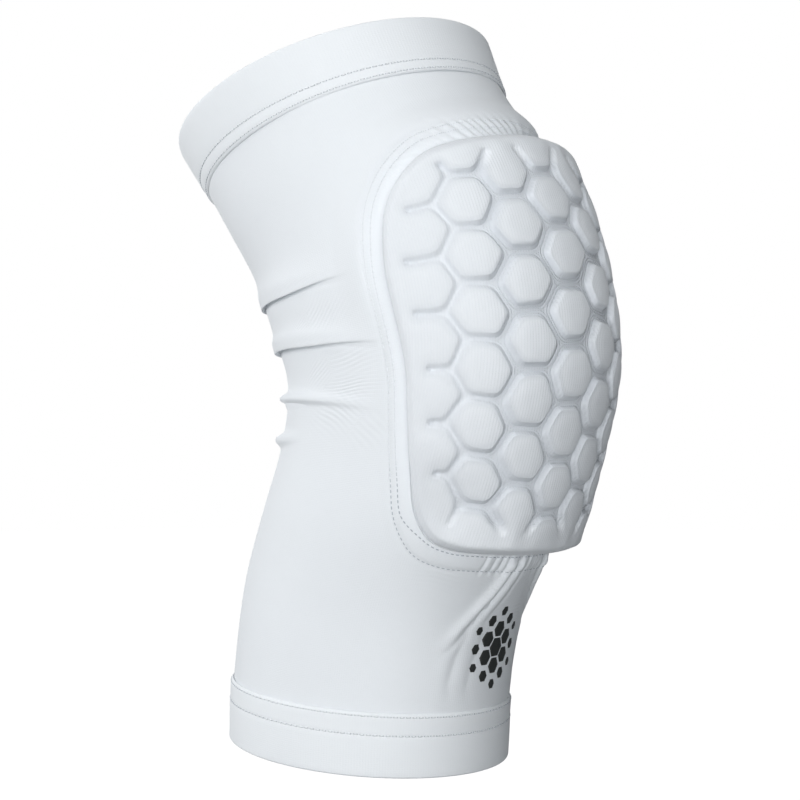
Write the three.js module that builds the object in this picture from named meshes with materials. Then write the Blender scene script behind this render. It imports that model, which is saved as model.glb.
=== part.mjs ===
// A padded knee sleeve for basketball, in the form that it has on a slightly bent left or right leg.
// A knitted tube runs from the thigh to the calf, with a doubled cuff at each end. A moulded foam pad with
// raised honeycomb cells wraps round the front of the knee, inside a flat border that is sewn to the tube.
//
// Millimetres, +Z up. The knee's centre is the origin, the pad faces -Y and X runs from side to side.
import * as THREE from "three";

// The leg that the sleeve is stretched over.
const shin_length = 196; // along the leg's axis, from the knee's centre to the lower hem
const thigh_length = 138; // along the leg's axis, from the knee's centre to the upper hem
const knee_half_depth = 75; // front to back
const knee_half_width = 70; // side to side
const shin_lean_deg = 6.5; // the lower hem lies behind the knee by this lean
const thigh_lean_deg = 21.5; // and the upper hem by this one
const bend_half_length = 95; // the leg turns from one lean to the other over twice this length
const hem_slant = 3.2; // each hem lies this much nearer to the knee at the front than at the sides

// The cloth.
const cloth_wall = 1.2; // the knitted tube
const cuff_layer = 1.2; // one of a cuff's two layers
const cuff_height = 28.5;
const cuff_overlap = 8; // of a cuff over the tube's end, between the two rows of stitching
const seat_gap = 0.35; // between pieces that touch
const curve_gap = 0.6; // the same, under a piece whose facets don't follow those of the tube

// The pad and the border round it. Heights run along the leg's axis, and widths over the cloth.
const pad_width = 186.5;
const pad_upper_length = 68.5; // from the knee's centre up
const pad_lower_length = 90; // from the knee's centre down
const pad_thickness = 12;
const pad_edge = 7.5; // the run of the rounded edge, from the cloth up to the flat of the cells
const pad_foot = 0.16; // the share of the thickness that stands straight up at the edge
const border_width = 9;
const border_wall = 0.9;
const gather_height = 0.8; // of the small gathers in the border, above and below the pad
const gather_pitch = 6.5;
const gather_start = 0.38; // the gathers lie beyond this share of the pad's height from its middle
const cell_column_pitch = 22.8; // over the cells' outer face
const cell_row_pitch = 20.2; // along the leg's axis
const cell_column_reach = 4; // columns on each side of the middle one
const cell_row_start = -10.4; // a cell of the middle column, from the knee's centre
const cell_row_rise = 3.3; // the outermost columns stand this much higher
const cell_taper = 0.21; // the columns draw together by this share at the pad's ends
const channel_depth = 3.8;
const channel_mouth = 6.2; // the channel's width between the cells' tops
const channel_floor = 3.4; // and at its bottom
const channel_stop = 3.7; // a channel's middle line ends this far inside the edge of the cells' flat
const channel_stub = 4.5; // and is left out where it would be shorter than this

// The folds behind the knee.
const fold_height = 4.6;
const fold_width = 7;

// How finely the surfaces are divided.
const tube_columns = 40;
const tube_row_step = 16;
const fold_row_step = 3.75;
const outline_points = 52;
const border_points = 130;
const pad_edge_rows = 3;
const pad_rings = 7;

// Cross-sections of the leg, from the lower hem up. Each row holds
//   along: share of the shin's length below the knee, and of the thigh's above it
//   depth, width: half the section's size, as shares of the knee's
//   back: how far the section's middle lies behind the leg's axis, as a share of the knee's half depth
const leg_sections = [
  { along: -1.0, depth: 0.905, width: 0.905, back: 0.37 },
  { along: -0.84, depth: 0.91, width: 0.91, back: 0.395 },
  { along: -0.635, depth: 0.91, width: 0.91, back: 0.365 },
  { along: -0.435, depth: 0.945, width: 0.945, back: 0.225 },
  { along: -0.255, depth: 0.95, width: 0.95, back: 0.11 },
  { along: -0.075, depth: 0.985, width: 0.985, back: 0.025 },
  { along: 0.145, depth: 1.02, width: 1.02, back: 0.05 },
  { along: 0.4, depth: 1.025, width: 1.025, back: 0.09 },
  { along: 0.615, depth: 1.03, width: 1.03, back: 0.16 },
  { along: 0.785, depth: 1.03, width: 1.03, back: 0.225 },
  { along: 1.0, depth: 1.08, width: 1.08, back: 0.275 },
];

// Half the pad's outline, from its lower edge up. Each row holds
//   rise: share of the pad's height
//   reach: share of half the pad's width
const pad_outline = [
  { rise: 0.0, reach: 0.395 },
  { rise: 0.005, reach: 0.54 },
  { rise: 0.025, reach: 0.65 },
  { rise: 0.065, reach: 0.725 },
  { rise: 0.115, reach: 0.78 },
  { rise: 0.18, reach: 0.818 },
  { rise: 0.26, reach: 0.861 },
  { rise: 0.36, reach: 0.91 },
  { rise: 0.48, reach: 0.954 },
  { rise: 0.6, reach: 0.989 },
  { rise: 0.71, reach: 1.0 },
  { rise: 0.8, reach: 0.974 },
  { rise: 0.865, reach: 0.93 },
  { rise: 0.92, reach: 0.858 },
  { rise: 0.96, reach: 0.77 },
  { rise: 0.99, reach: 0.665 },
  { rise: 1.0, reach: 0.55 },
];

// The folds behind the knee, from the top down. Each row holds
//   tip, back: where the fold's line lies at its two tips and at the middle of the back, as shares of the
//     shin's length
//   reach_deg: how far round from the middle of the back it runs
//   height: share of the fold height
//   above, below: how far it spreads up and down the leg, as shares of the fold width
const knee_folds = [
  { tip: 0.157, back: 0.183, reach_deg: 96, height: 0.8, above: 1.3, below: 0.5 },
  { tip: 0.002, back: 0.047, reach_deg: 99, height: 0.95, above: 0.8, below: 0.45 },
  { tip: -0.137, back: -0.102, reach_deg: 97, height: 1.0, above: 0.45, below: 0.45 },
  { tip: -0.236, back: -0.252, reach_deg: 66, height: 0.85, above: 0.45, below: 0.9 },
];

const smooth = (t) => {
  const x = THREE.MathUtils.clamp(t, 0, 1);
  return x * x * (3 - 2 * x);
};

// A table's column at a place between its rows, on a smooth curve through them.
function tableAt(rows, place, column, at) {
  let i = 0;
  while (i < rows.length - 2 && at > place(rows[i + 1])) i += 1;
  const slope = (j) => {
    const low = rows[Math.max(j - 1, 0)];
    const high = rows[Math.min(j + 1, rows.length - 1)];
    return (high[column] - low[column]) / (place(high) - place(low));
  };
  const [low, high] = [rows[i], rows[i + 1]];
  const span = place(high) - place(low);
  const t = THREE.MathUtils.clamp((at - place(low)) / span, 0, 1);
  const bend = t * t * (3 - 2 * t);
  return (
    low[column] * (1 - bend) +
    high[column] * bend +
    span * t * (1 - t) * (slope(i) * (1 - t) - slope(i + 1) * t)
  );
}

// The leg's axis, in the plane X = 0: its lean at a distance along it from the knee, and the point there.
function axisLean(along) {
  const turn = smooth((along + bend_half_length) / (2 * bend_half_length));
  return THREE.MathUtils.degToRad(-shin_lean_deg + (shin_lean_deg + thigh_lean_deg) * turn);
}

function axisPoint(along) {
  const steps = 48;
  let y = 0;
  let z = 0;
  for (let i = 0; i < steps; i += 1) {
    const lean = axisLean((along * (i + 0.5)) / steps);
    y += (Math.sin(lean) * along) / steps;
    z += (Math.cos(lean) * along) / steps;
  }
  return { y, z };
}

const sectionPlace = (row) => row.along * (row.along < 0 ? shin_length : thigh_length);

// Half the depth and width of the leg's section, and how far back its middle lies.
function section(along) {
  const share = (column) => tableAt(leg_sections, sectionPlace, column, along);
  return {
    depth: share("depth") * knee_half_depth,
    width: share("width") * knee_half_width,
    back: share("back") * knee_half_depth,
  };
}

// How far the folds behind the knee lift the cloth. The angle runs round the leg from the front's middle.
function foldLift(along, angle) {
  const from_back = Math.PI - Math.abs(angle);
  let lift = 0;
  for (const fold of knee_folds) {
    const inward = 1 - from_back / THREE.MathUtils.degToRad(fold.reach_deg);
    if (inward <= 0) continue;
    const line = (fold.tip + (fold.back - fold.tip) * inward) * shin_length;
    const spread = (along > line ? fold.above : fold.below) * fold_width;
    const across = (along - line) / spread;
    lift += fold.height * fold_height * smooth(2.2 * inward) * Math.exp(-across * across);
  }
  return lift;
}

// A point of the leg's surface, or lifted off it along the section's normal. The folds move only the tube.
function legPoint(along, angle, lift) {
  const { depth, width, back } = section(along);
  const { y, z } = axisPoint(along);
  const lean = axisLean(along);
  const normal = new THREE.Vector2(Math.sin(angle) / width, Math.cos(angle) / depth).normalize();
  const side = width * Math.sin(angle) + lift * normal.x;
  const front = depth * Math.cos(angle) + lift * normal.y - back;
  return new THREE.Vector3(side, y - front * Math.cos(lean), z + front * Math.sin(lean));
}

// A point over the leg by its width over a face that lies at some lift, and by its distance along the axis.
function wrappedPoint(across, along, face_lift, lift) {
  const { depth, width } = section(along);
  return legPoint(along, across / ((depth + width) / 2 + face_lift), lift);
}

function geometryOf(points, triangles) {
  const geometry = new THREE.BufferGeometry().setFromPoints(points);
  geometry.setIndex(triangles);
  geometry.computeVertexNormals();
  return geometry;
}

// A closed solid from loops of as many points each: the loops go round the piece's hole or outline, and one
// after another they go round its wall and back to the first.
function ringSolid(loops) {
  const count = loops[0].length;
  const triangles = [];
  loops.forEach((_, i) => {
    const next = (i + 1) % loops.length;
    for (let j = 0; j < count; j += 1) {
      const beside = (j + 1) % count;
      const [a, b] = [i * count + j, i * count + beside];
      const [c, d] = [next * count + beside, next * count + j];
      triangles.push(a, b, c, a, c, d);
    }
  });
  return geometryOf(loops.flat(), triangles);
}

// Distances from one end to the other in equal steps, no longer than a given one.
function steps(from, to, longest) {
  const count = Math.ceil(Math.abs(to - from) / longest);
  return Array.from({ length: count + 1 }, (_, i) => from + ((to - from) * i) / count);
}

const ringAngles = Array.from({ length: tube_columns }, (_, i) => {
  return ((i + 0.5) / tube_columns) * 2 * Math.PI - Math.PI;
});

// A loop round the leg, the way that makes a wall's outside face out when the loops go up it.
function legLoop(along, lift, folded) {
  const slant = -Math.sign(along) * hem_slant * smooth((Math.abs(along) - bend_half_length) / cuff_height);
  return ringAngles.map((angle) => {
    const place = along + slant * Math.cos(angle);
    return legPoint(place, angle, lift + (folded ? foldLift(place, angle) : 0));
  });
}

// The knitted tube, from under one cuff to under the other, with the folds behind the knee in its wall.
function tube() {
  const low = -shin_length + cuff_height - cuff_overlap;
  const high = thigh_length - cuff_height + cuff_overlap;
  const fold_places = knee_folds.flatMap((fold) => [fold.tip * shin_length, fold.back * shin_length]);
  const folds_low = Math.min(...fold_places) - fold_width;
  const folds_high = Math.max(...fold_places) + fold_width;
  const rows = [
    ...steps(low, folds_low, tube_row_step).slice(0, -1),
    ...steps(folds_low, folds_high, fold_row_step),
    ...steps(folds_high, high, tube_row_step).slice(1),
  ];
  const outside = rows.map((along) => legLoop(along, 0, true));
  const inside = rows.map((along) => legLoop(along, -cloth_wall, true));
  return ringSolid([...outside, ...inside.reverse()]);
}

// A doubled cuff. It laps over the tube's end, and past that end both of its layers lie against the leg.
function cuff(hem, toward_knee) {
  const lip = hem + toward_knee * cuff_height;
  const tube_end = lip - toward_knee * cuff_overlap;
  const step = tube_end - toward_knee * seat_gap;
  const outer = seat_gap + cuff_layer;
  const inner = outer - 2 * cuff_layer;
  const rim_round = cuff_layer / 2;
  const profile = [
    [hem, inner + rim_round],
    [hem, outer - rim_round],
    [hem + toward_knee * rim_round, outer],
    [(hem + lip) / 2, outer],
    [lip, outer],
    [lip, seat_gap],
    [step, seat_gap],
    [step, inner],
    [hem + toward_knee * rim_round, inner],
  ];
  const loops = profile.map(([along, lift]) => legLoop(along, lift, false));
  return ringSolid(toward_knee > 0 ? loops : loops.reverse());
}

// The pad's outline over the cloth, anticlockwise from the front: X is the width and Y the height on the leg.
const pad_height = pad_upper_length + pad_lower_length;
const pad_middle = (pad_upper_length - pad_lower_length) / 2;

function padOutline(count) {
  const at = (row, side) => {
    const across = (side * row.reach * pad_width) / 2;
    return new THREE.Vector3(across, row.rise * pad_height - pad_lower_length, 0);
  };
  const right = pad_outline.map((row) => at(row, 1));
  const left = pad_outline.map((row) => at(row, -1)).reverse();
  const curve = new THREE.CatmullRomCurve3([...right, ...left], true);
  return Array.from({ length: count }, (_, i) => {
    const share = i / count;
    return {
      point: curve.getPointAt(share),
      heading: curve.getTangentAt(share),
      gone: share * curve.getLength(),
    };
  });
}

const outline = padOutline(outline_points);

const pushedIn = ({ point, heading }, inset) => ({
  across: point.x - heading.y * inset,
  along: point.y + heading.x * inset,
});

// The outline pushed inward by a distance, and then drawn together to a share of its size.
function innerOutline(inset, share) {
  return outline.map((spot) => {
    const { across, along } = pushedIn(spot, inset);
    return { across: across * share, along: pad_middle + (along - pad_middle) * share };
  });
}

// A place of the honeycomb, by its column and row: how far round the cells' face, and how high along the leg.
function cellPlace(column, row) {
  const outward = column / cell_column_reach;
  const along = cell_row_start + row * cell_row_pitch + cell_row_rise * outward * outward;
  const from_knee = along / (pad_height / 2);
  const across = column * cell_column_pitch * (1 - cell_taper * from_knee * from_knee);
  return { across, along };
}

// Places over the cloth, given round the cells' face instead.
function onFace(places) {
  return places.map(({ across, along }) => {
    const { depth, width } = section(along);
    const radius = (depth + width) / 2;
    return { across: (across * (radius + pad_thickness)) / radius, along };
  });
}

const flat_edge = onFace(innerOutline(pad_edge, 1));
const channel_edge = onFace(innerOutline(pad_edge + channel_stop, 1));

function insideLoop(loop, { across, along }) {
  let inside = false;
  loop.forEach((a, i) => {
    const b = loop[(i + 1) % loop.length];
    if (a.along > along === b.along > along) return;
    const crossing = a.across + ((along - a.along) / (b.along - a.along)) * (b.across - a.across);
    if (across < crossing) inside = !inside;
  });
  return inside;
}

const between = (a, b, share) => ({
  across: a.across + (b.across - a.across) * share,
  along: a.along + (b.along - a.along) * share,
});

const distance = (a, b) => Math.hypot(b.across - a.across, b.along - a.along);

// How much of a channel's line from a place inside a loop stays inside it.
function shareInside(loop, from, to) {
  let [good, bad] = [0, 1];
  for (let i = 0; i < 12; i += 1) {
    const half = (good + bad) / 2;
    if (insideLoop(loop, between(from, to, half))) good = half;
    else bad = half;
  }
  return good;
}

// The channels' middle lines as a network: each corner's name leads to its place and its neighbours' names.
// A channel that leaves the flat of the cells ends a little before its edge, and short of any that it would
// meet there.
function channelNetwork() {
  const corners = new Map();
  const join = (a, b) => {
    for (const [{ name, place }, other] of [
      [a, b],
      [b, a],
    ]) {
      if (!corners.has(name)) corners.set(name, { place, next: [] });
      corners.get(name).next.push(other.name);
    }
  };
  const corner = (column, row) => {
    const place = cellPlace(column, row);
    const name = `${Math.round(3 * column)} ${Math.round(2 * row)}`;
    return { name, place, inside: insideLoop(channel_edge, place) };
  };
  const rows = Math.ceil(pad_height / cell_row_pitch);
  for (let column = -cell_column_reach - 1; column <= cell_column_reach + 1; column += 1) {
    for (let step = -rows; step <= rows; step += 1) {
      const row = step + (column % 2 === 0 ? 0 : 0.5);
      const top_left = corner(column - 1 / 3, row + 1 / 2);
      const top_right = corner(column + 1 / 3, row + 1 / 2);
      const right = corner(column + 2 / 3, row);
      const low_right = corner(column + 1 / 3, row - 1 / 2);
      for (const [a, b] of [
        [top_left, top_right],
        [top_right, right],
        [right, low_right],
      ]) {
        if (a.inside && b.inside) {
          join(a, b);
        } else if (a.inside || b.inside) {
          const [start, beyond] = a.inside ? [a, b] : [b, a];
          const whole = distance(start.place, beyond.place);
          const reach = shareInside(channel_edge, start.place, beyond.place) * whole;
          const kept = Math.min(reach, whole - channel_mouth / 2);
          const place = between(start.place, beyond.place, kept / whole);
          if (kept > channel_stub) join(start, { name: `${start.name} to ${beyond.name}`, place });
        }
      }
    }
  }
  return corners;
}

// The loops round the network's faces, as lists of corners. A walk keeps the face on its left side, so the
// loops round cells run anticlockwise, and the one round the whole network runs clockwise.
function networkLoops(corners) {
  const heading = (from, to) => {
    const [a, b] = [corners.get(from).place, corners.get(to).place];
    return Math.atan2(b.along - a.along, b.across - a.across);
  };
  const full = 2 * Math.PI;
  const turnLeft = (from, via) => {
    const back = heading(via, from);
    const clockwise = (to) => (back - heading(via, to) + full) % full || full;
    return corners.get(via).next.reduce((best, to) => (clockwise(to) < clockwise(best) ? to : best));
  };
  const seen = new Set();
  const loops = [];
  for (const [start, { next }] of corners) {
    for (const first of next) {
      const loop = [];
      let [from, to] = [start, first];
      while (!seen.has(`${from}>${to}`)) {
        seen.add(`${from}>${to}`);
        loop.push({ name: to, place: corners.get(to).place });
        [from, to] = [to, turnLeft(from, to)];
      }
      if (loop.length > 0) loops.push(loop);
    }
  }
  return loops;
}

// Whether a corner's three channels are listed anticlockwise.
function turnedLeft(corners, from, next) {
  const { place } = corners.get(from);
  const ways = next.map((name) => {
    const other = corners.get(name).place;
    return { across: other.across - place.across, along: other.along - place.along };
  });
  return areaOf(ways.map((way) => ({ place: way }))) > 0;
}

// A loop moved to its left by half a channel's width, with the two square corners of a channel's end. Each
// place says which channels it lies beside, coming and going.
function sideOfChannels(loop, channel_width) {
  const half = channel_width / 2;
  return loop.flatMap(({ name, place }, i) => {
    const before = loop[(i + loop.length - 1) % loop.length];
    const after = loop[(i + 1) % loop.length];
    const [into, out] = [
      [before.place, place],
      [place, after.place],
    ].map(([a, b]) => ({
      across: (b.across - a.across) / distance(a, b),
      along: (b.along - a.along) / distance(a, b),
    }));
    const moved = (way, side) => ({
      across: place.across - way.along * side,
      along: place.along + way.across * side,
    });
    const coming = `${before.name}>${name}`;
    const going = `${name}>${after.name}`;
    if (before.name === after.name) {
      return [
        { ...moved(into, half), coming },
        { ...moved(into, -half), going },
      ];
    }
    const cosine = into.across * out.across + into.along * out.along;
    const middle = { across: into.across + out.across, along: into.along + out.along };
    return [{ ...moved(middle, half / (1 + cosine)), coming, going }];
  });
}

const areaOf = (loop) =>
  loop.reduce((sum, { place: a }, i) => {
    const b = loop[(i + 1) % loop.length].place;
    return sum + (a.across * b.along - b.across * a.along) / 2;
  }, 0);

// The foam pad: a rounded edge, a flat rim, and cells that stand between channels of one depth.
function honeycombPad() {
  const top = curve_gap + pad_thickness;
  const corners = channelNetwork();
  const loops = networkLoops(corners).sort((a, b) => areaOf(a) - areaOf(b));
  const network = loops[0];
  const cells = loops.filter((loop) => areaOf(loop) > 0);

  const points = [];
  const triangles = [];
  const addLoop = (places, lift, face_lift) => {
    const first = points.length;
    places.forEach(({ across, along }) => points.push(wrappedPoint(across, along, face_lift, lift)));
    return places.map((_, i) => first + i);
  };
  const wall = (low, high) => {
    low.forEach((a, i) => {
      const b = (i + 1) % low.length;
      triangles.push(a, low[b], high[b], a, high[b], high[i]);
    });
  };
  const fan = (middle, loop) => {
    loop.forEach((a, i) => triangles.push(middle, a, loop[(i + 1) % loop.length]));
  };

  // The underside, from its middle out, and the rounded edge up to the flat rim.
  const under = steps(0, 1, 1 / pad_rings)
    .slice(1)
    .map((share) => addLoop(innerOutline(0, share), curve_gap, 0));
  const under_middle = points.push(wrappedPoint(0, pad_middle, 0, curve_gap)) - 1;
  fan(under_middle, [...under[0]].reverse());
  const edge = steps(0, 1, 1 / pad_edge_rows).map((share) => {
    const rounded = Math.sqrt(1 - (1 - share) * (1 - share));
    const height = pad_thickness * (pad_foot + (1 - pad_foot) * rounded);
    return addLoop(innerOutline(share * pad_edge, 1), curve_gap + height, 0);
  });
  [...under, ...edge].slice(1).forEach((loop, i) => wall([...under, ...edge][i], loop));

  // The flat rim, round the mouths of the channels.
  const plane = (places) => places.map(({ across, along }) => new THREE.Vector2(across, along));
  const network_mouth = sideOfChannels(network, channel_mouth).reverse();
  const mouth = addLoop(network_mouth, top, pad_thickness);
  const rim = [...edge[edge.length - 1], ...mouth];
  const rim_faces = THREE.ShapeUtils.triangulateShape(plane(flat_edge), [plane(network_mouth)]);
  rim_faces.forEach(([a, b, c]) => triangles.push(rim[a], rim[b], rim[c]));

  // The channels' walls, and the tops of the cells. The two ends of each side of a channel's floor are noted.
  const starts = new Map();
  const ends = new Map();
  const addFloorSide = (places) => {
    const side = addLoop(places, top - channel_depth, pad_thickness);
    places.forEach(({ coming, going }, i) => {
      if (coming) ends.set(coming, side[i]);
      if (going) starts.set(going, side[i]);
    });
    return side;
  };
  wall(mouth, addFloorSide(sideOfChannels(network, channel_floor).reverse()));
  for (const cell of cells) {
    const foot = addFloorSide(sideOfChannels(cell, channel_floor));
    const places = sideOfChannels(cell, channel_mouth);
    const lip = addLoop(places, top, pad_thickness);
    wall(foot, lip);
    const across = places.reduce((sum, place) => sum + place.across, 0) / places.length;
    const along = places.reduce((sum, place) => sum + place.along, 0) / places.length;
    fan(points.push(wrappedPoint(across, along, pad_thickness, top)) - 1, lip);
  }

  // The channels' floors, and the three-sided spots where they meet.
  for (const [from, { next }] of corners) {
    const met = next.map((to) => ends.get(`${to}>${from}`)).filter((point) => point !== undefined);
    if (met.length === 3) {
      const [a, b, c] = next.map((to) => starts.get(`${from}>${to}`));
      triangles.push(...(turnedLeft(corners, from, next) ? [a, b, c] : [a, c, b]));
    }
    for (const to of next.filter((name) => from < name)) {
      const [there, back] = [`${from}>${to}`, `${to}>${from}`];
      if (!starts.has(there) || !starts.has(back)) continue;
      const quad = [ends.get(back), starts.get(back), ends.get(there), starts.get(there)];
      triangles.push(quad[0], quad[1], quad[2], quad[0], quad[2], quad[3]);
    }
  }
  return geometryOf(points, triangles);
}

// The border that is sewn down round the pad, flat beside it and gathered above and below it.
function border() {
  const line = padOutline(border_points);
  const gather = ({ point, gone }) => {
    const from_middle = Math.abs(point.y - pad_middle) / pad_height;
    const share = smooth((from_middle - gather_start) / (0.5 - gather_start));
    return (share * gather_height * (1 - Math.cos((2 * Math.PI * gone) / gather_pitch))) / 2;
  };
  const loop = (inset, lift) =>
    line.map((spot) => {
      const { across, along } = pushedIn(spot, inset);
      return wrappedPoint(across, along, 0, lift + gather(spot));
    });
  const low = curve_gap;
  const high = curve_gap + border_wall;
  return ringSolid([
    loop(-seat_gap, low),
    loop(-border_width, low),
    loop(-border_width, high),
    loop(-seat_gap, high),
  ]);
}

const knit = new THREE.MeshStandardMaterial({ color: 0xf1f4f6, roughness: 0.85, metalness: 0 });
const doubledKnit = new THREE.MeshStandardMaterial({ color: 0xf4f6f8, roughness: 0.85, metalness: 0 });
const paddedKnit = new THREE.MeshStandardMaterial({ color: 0xeceff2, roughness: 0.8, metalness: 0 });

const kneePad = new THREE.Group();

function add(name, geometry, material) {
  const mesh = new THREE.Mesh(geometry, material);
  mesh.name = name;
  kneePad.add(mesh);
}

add("sleeve_tube", tube(), knit);
add("upper_cuff", cuff(thigh_length, -1), doubledKnit);
add("lower_cuff", cuff(-shin_length, 1), doubledKnit);
add("honeycomb_pad", honeycombPad(), paddedKnit);
add("pad_border", border(), knit);

export default kneePad;
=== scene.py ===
"""The looks of a padded knee sleeve for basketball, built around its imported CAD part.

Shapes are worked out in millimetres, and a mesh is scaled to metres when it is made. The leg and the pad's
outline have the CAD part's own sizes and tables. Angles run round the leg from the middle of the front, and
the negative ones lie on the -X side, which faces the camera.
"""

import math

import bpy
import numpy as np
from mathutils import Matrix, Vector, kdtree


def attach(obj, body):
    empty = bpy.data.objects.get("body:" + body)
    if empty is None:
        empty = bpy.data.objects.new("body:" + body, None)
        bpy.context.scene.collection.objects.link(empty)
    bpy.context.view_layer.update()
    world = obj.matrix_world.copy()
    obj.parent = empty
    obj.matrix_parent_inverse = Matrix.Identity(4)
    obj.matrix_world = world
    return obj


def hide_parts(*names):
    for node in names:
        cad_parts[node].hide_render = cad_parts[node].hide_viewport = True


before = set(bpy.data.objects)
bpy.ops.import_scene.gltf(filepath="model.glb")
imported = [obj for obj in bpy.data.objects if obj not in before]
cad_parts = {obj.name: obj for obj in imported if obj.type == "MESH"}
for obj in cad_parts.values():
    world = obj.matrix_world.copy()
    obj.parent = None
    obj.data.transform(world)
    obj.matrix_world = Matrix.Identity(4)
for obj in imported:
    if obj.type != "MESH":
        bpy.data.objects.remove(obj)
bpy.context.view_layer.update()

METRES = 0.001
FULL_TURN = 2 * math.pi

# The leg that the sleeve is stretched over.
SHIN_LENGTH = 196.0
THIGH_LENGTH = 138.0
KNEE_HALF_DEPTH = 75.0
KNEE_HALF_WIDTH = 70.0
SHIN_LEAN = math.radians(6.5)
THIGH_LEAN = math.radians(21.5)
BEND_HALF_LENGTH = 95.0
HEM_SLANT = 3.2

# The cloth.
CLOTH_WALL = 1.2
CUFF_LAYER = 1.2
CUFF_HEIGHT = 28.5
CUFF_OVERLAP = 8.0
SEAT_GAP = 0.35
CURVE_GAP = 0.6

# The cuffs' outer face, and their rows of stitching: how far the first one lies from the hem, and how far
# the second ones lie from the cuff's lip.
CUFF_FACE = SEAT_GAP + CUFF_LAYER - 0.25
FIRST_ROW = CUFF_HEIGHT - 1.3
UPPER_SECOND_ROW = 6.3
LOWER_SECOND_ROW = 9.6

# The pad and the border round it.
PAD_WIDTH = 186.5
PAD_UPPER_LENGTH = 68.5
PAD_LOWER_LENGTH = 90.0
PAD_THICKNESS = 12.0
PAD_EDGE = 7.5
PAD_FOOT = 0.16
PAD_THINNING = 0.28
CELL_COLUMN_PITCH = 22.8
CELL_ROW_PITCH = 20.2
CELL_COLUMN_REACH = 4
CELL_ROW_START = -10.4
CELL_ROW_RISE = 3.3
CELL_TAPER = 0.21
CELL_SHIFT = 5.0
CHANNEL_DEPTH = 2.5
CHANNEL_STOP = 2.4
CHANNEL_STUB = 3.5
CHANNEL_HALF_MOUTH = 2.3
CHANNEL_WIDENING = 1.9
CHANNEL_SLOPE = 1.35
CHANNEL_END_PIT = 0.6
FAR_FROM_CHANNEL = 20.0
CELL_ROUNDING = 0.75
CELL_CROWN = 0.5

# Channels that lie wholly below this height on the leg are left out.
FACE_LOW = -76.0

PAD_HEIGHT = PAD_UPPER_LENGTH + PAD_LOWER_LENGTH
PAD_MIDDLE = (PAD_UPPER_LENGTH - PAD_LOWER_LENGTH) / 2

# Cross-sections of the leg, from the lower hem up: share of the shin's length below the knee or of the
# thigh's above it, half depth, half width and setback, as shares of the knee's.
LEG_SECTIONS = np.array(
    [
        (-1.0, 0.905, 0.905, 0.37),
        (-0.84, 0.91, 0.91, 0.395),
        (-0.635, 0.91, 0.91, 0.365),
        (-0.435, 0.945, 0.945, 0.225),
        (-0.255, 0.95, 0.95, 0.11),
        (-0.075, 0.985, 0.985, 0.025),
        (0.145, 1.02, 1.02, 0.05),
        (0.4, 1.025, 1.025, 0.09),
        (0.615, 1.03, 1.03, 0.16),
        (0.785, 1.03, 1.03, 0.225),
        (1.0, 1.08, 1.08, 0.275),
    ]
)

# Half the pad's outline, from its lower edge up: shares of its height and of half its width.
PAD_OUTLINE = (
    (0.0, 0.395),
    (0.005, 0.54),
    (0.025, 0.65),
    (0.065, 0.725),
    (0.115, 0.78),
    (0.18, 0.818),
    (0.26, 0.861),
    (0.36, 0.91),
    (0.48, 0.954),
    (0.6, 0.989),
    (0.71, 1.0),
    (0.8, 0.974),
    (0.865, 0.93),
    (0.92, 0.858),
    (0.96, 0.77),
    (0.99, 0.665),
    (1.0, 0.55),
)

# The folds behind the knee, from the top down: where the ridge lies at its two tips, halfway from them
# and at the middle of the back, as shares of the shin's length, how many degrees it reaches from there,
# how soon it swells from its tips, its height, how far it spreads above and below, how far its lip hangs
# down over the crease, and how plump it is.
KNEE_FOLDS = (
    (0.139, 0.189, 0.243, 99, 2.6, 2.1, 9.1, 1.1, 4.3, 2.0),
    (-0.025, 0.040, 0.064, 105, 2.6, 2.7, 6.0, 1.1, 4.3, 2.0),
    (-0.163, -0.121, -0.117, 103, 1.5, 4.1, 2.9, 3.2, 0.3, 2.6),
    (-0.232, -0.242, -0.252, 66, 2.0, 3.6, 3.0, 4.0, 0.0, 2.8),
)

# Folds that the stretched cloth draws below the pad, as lines of places on the leg: along it, and round
# it in degrees. Each has a height, and a width.
PULL_FOLDS = (
    (
        2.5,
        3.1,
        ((-91, -9.3), (-99, -10.2), (-106, -12.2), (-112, -14.4), (-121, -19.4), (-133, -27.4), (-143, -36)),
    ),
    (0.6, 3.0, ((-91, -2), (-100, -3.5), (-110, -7), (-122, -14), (-130, -20))),
    (0.4, 4.2, ((-128, -22), (-140, -26), (-152, -28), (-163, -25))),
    (0.3, 4.2, ((-130, -13), (-142, -17), (-153, -19), (-163, -17))),
    (1.8, 3.2, ((-91, 12), (-100, 13.5), (-108, 16.4), (-117, 21), (-127, 27), (-137, 35), (-145, 46))),
    (0.6, 2.8, ((-91, 24), (-99, 25), (-107, 29), (-117, 35))),
    (0.6, 4.2, ((-130, 20), (-142, 25), (-155, 26))),
)

# The narrow tucks in the border below the pad, by their places round the leg in degrees.
TUCKS = (-26.1, -21.8, -17.8, -15.1, -7.9, -2.7, 3.4, 8.6, 15.6, 19.3, 24.8)

# Patches of fine wrinkles on each side of the leg. Each has its middle, along the leg and in degrees from
# the front, half its height and width, the wrinkles' slope in degrees, their pitch and their strength.
WRINKLES = (
    (15, 99, 9, 12, 48, 2.1, 0.8),
    (-13, 109, 7, 9, 44, 1.9, 0.8),
    (-22, 93, 5, 12, 3, 1.7, 0.8),
    (-10, 92, 6, 12, 12, 2.4, 0.7),
    (12, 110, 6, 7, 40, 1.6, 0.5),
    (-33, 98, 8, 12, -30, 2.4, 0.9),
    (-107, 20, 12, 5, -14, 1.7, 1.0),
    (-41, 84, 8, 8, -44, 2.7, 0.6),
    (-122, 8, 9, 6, -4, 2.0, 0.6),
    (-101, 41, 6, 12, -6, 2.4, 0.5),
)

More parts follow.
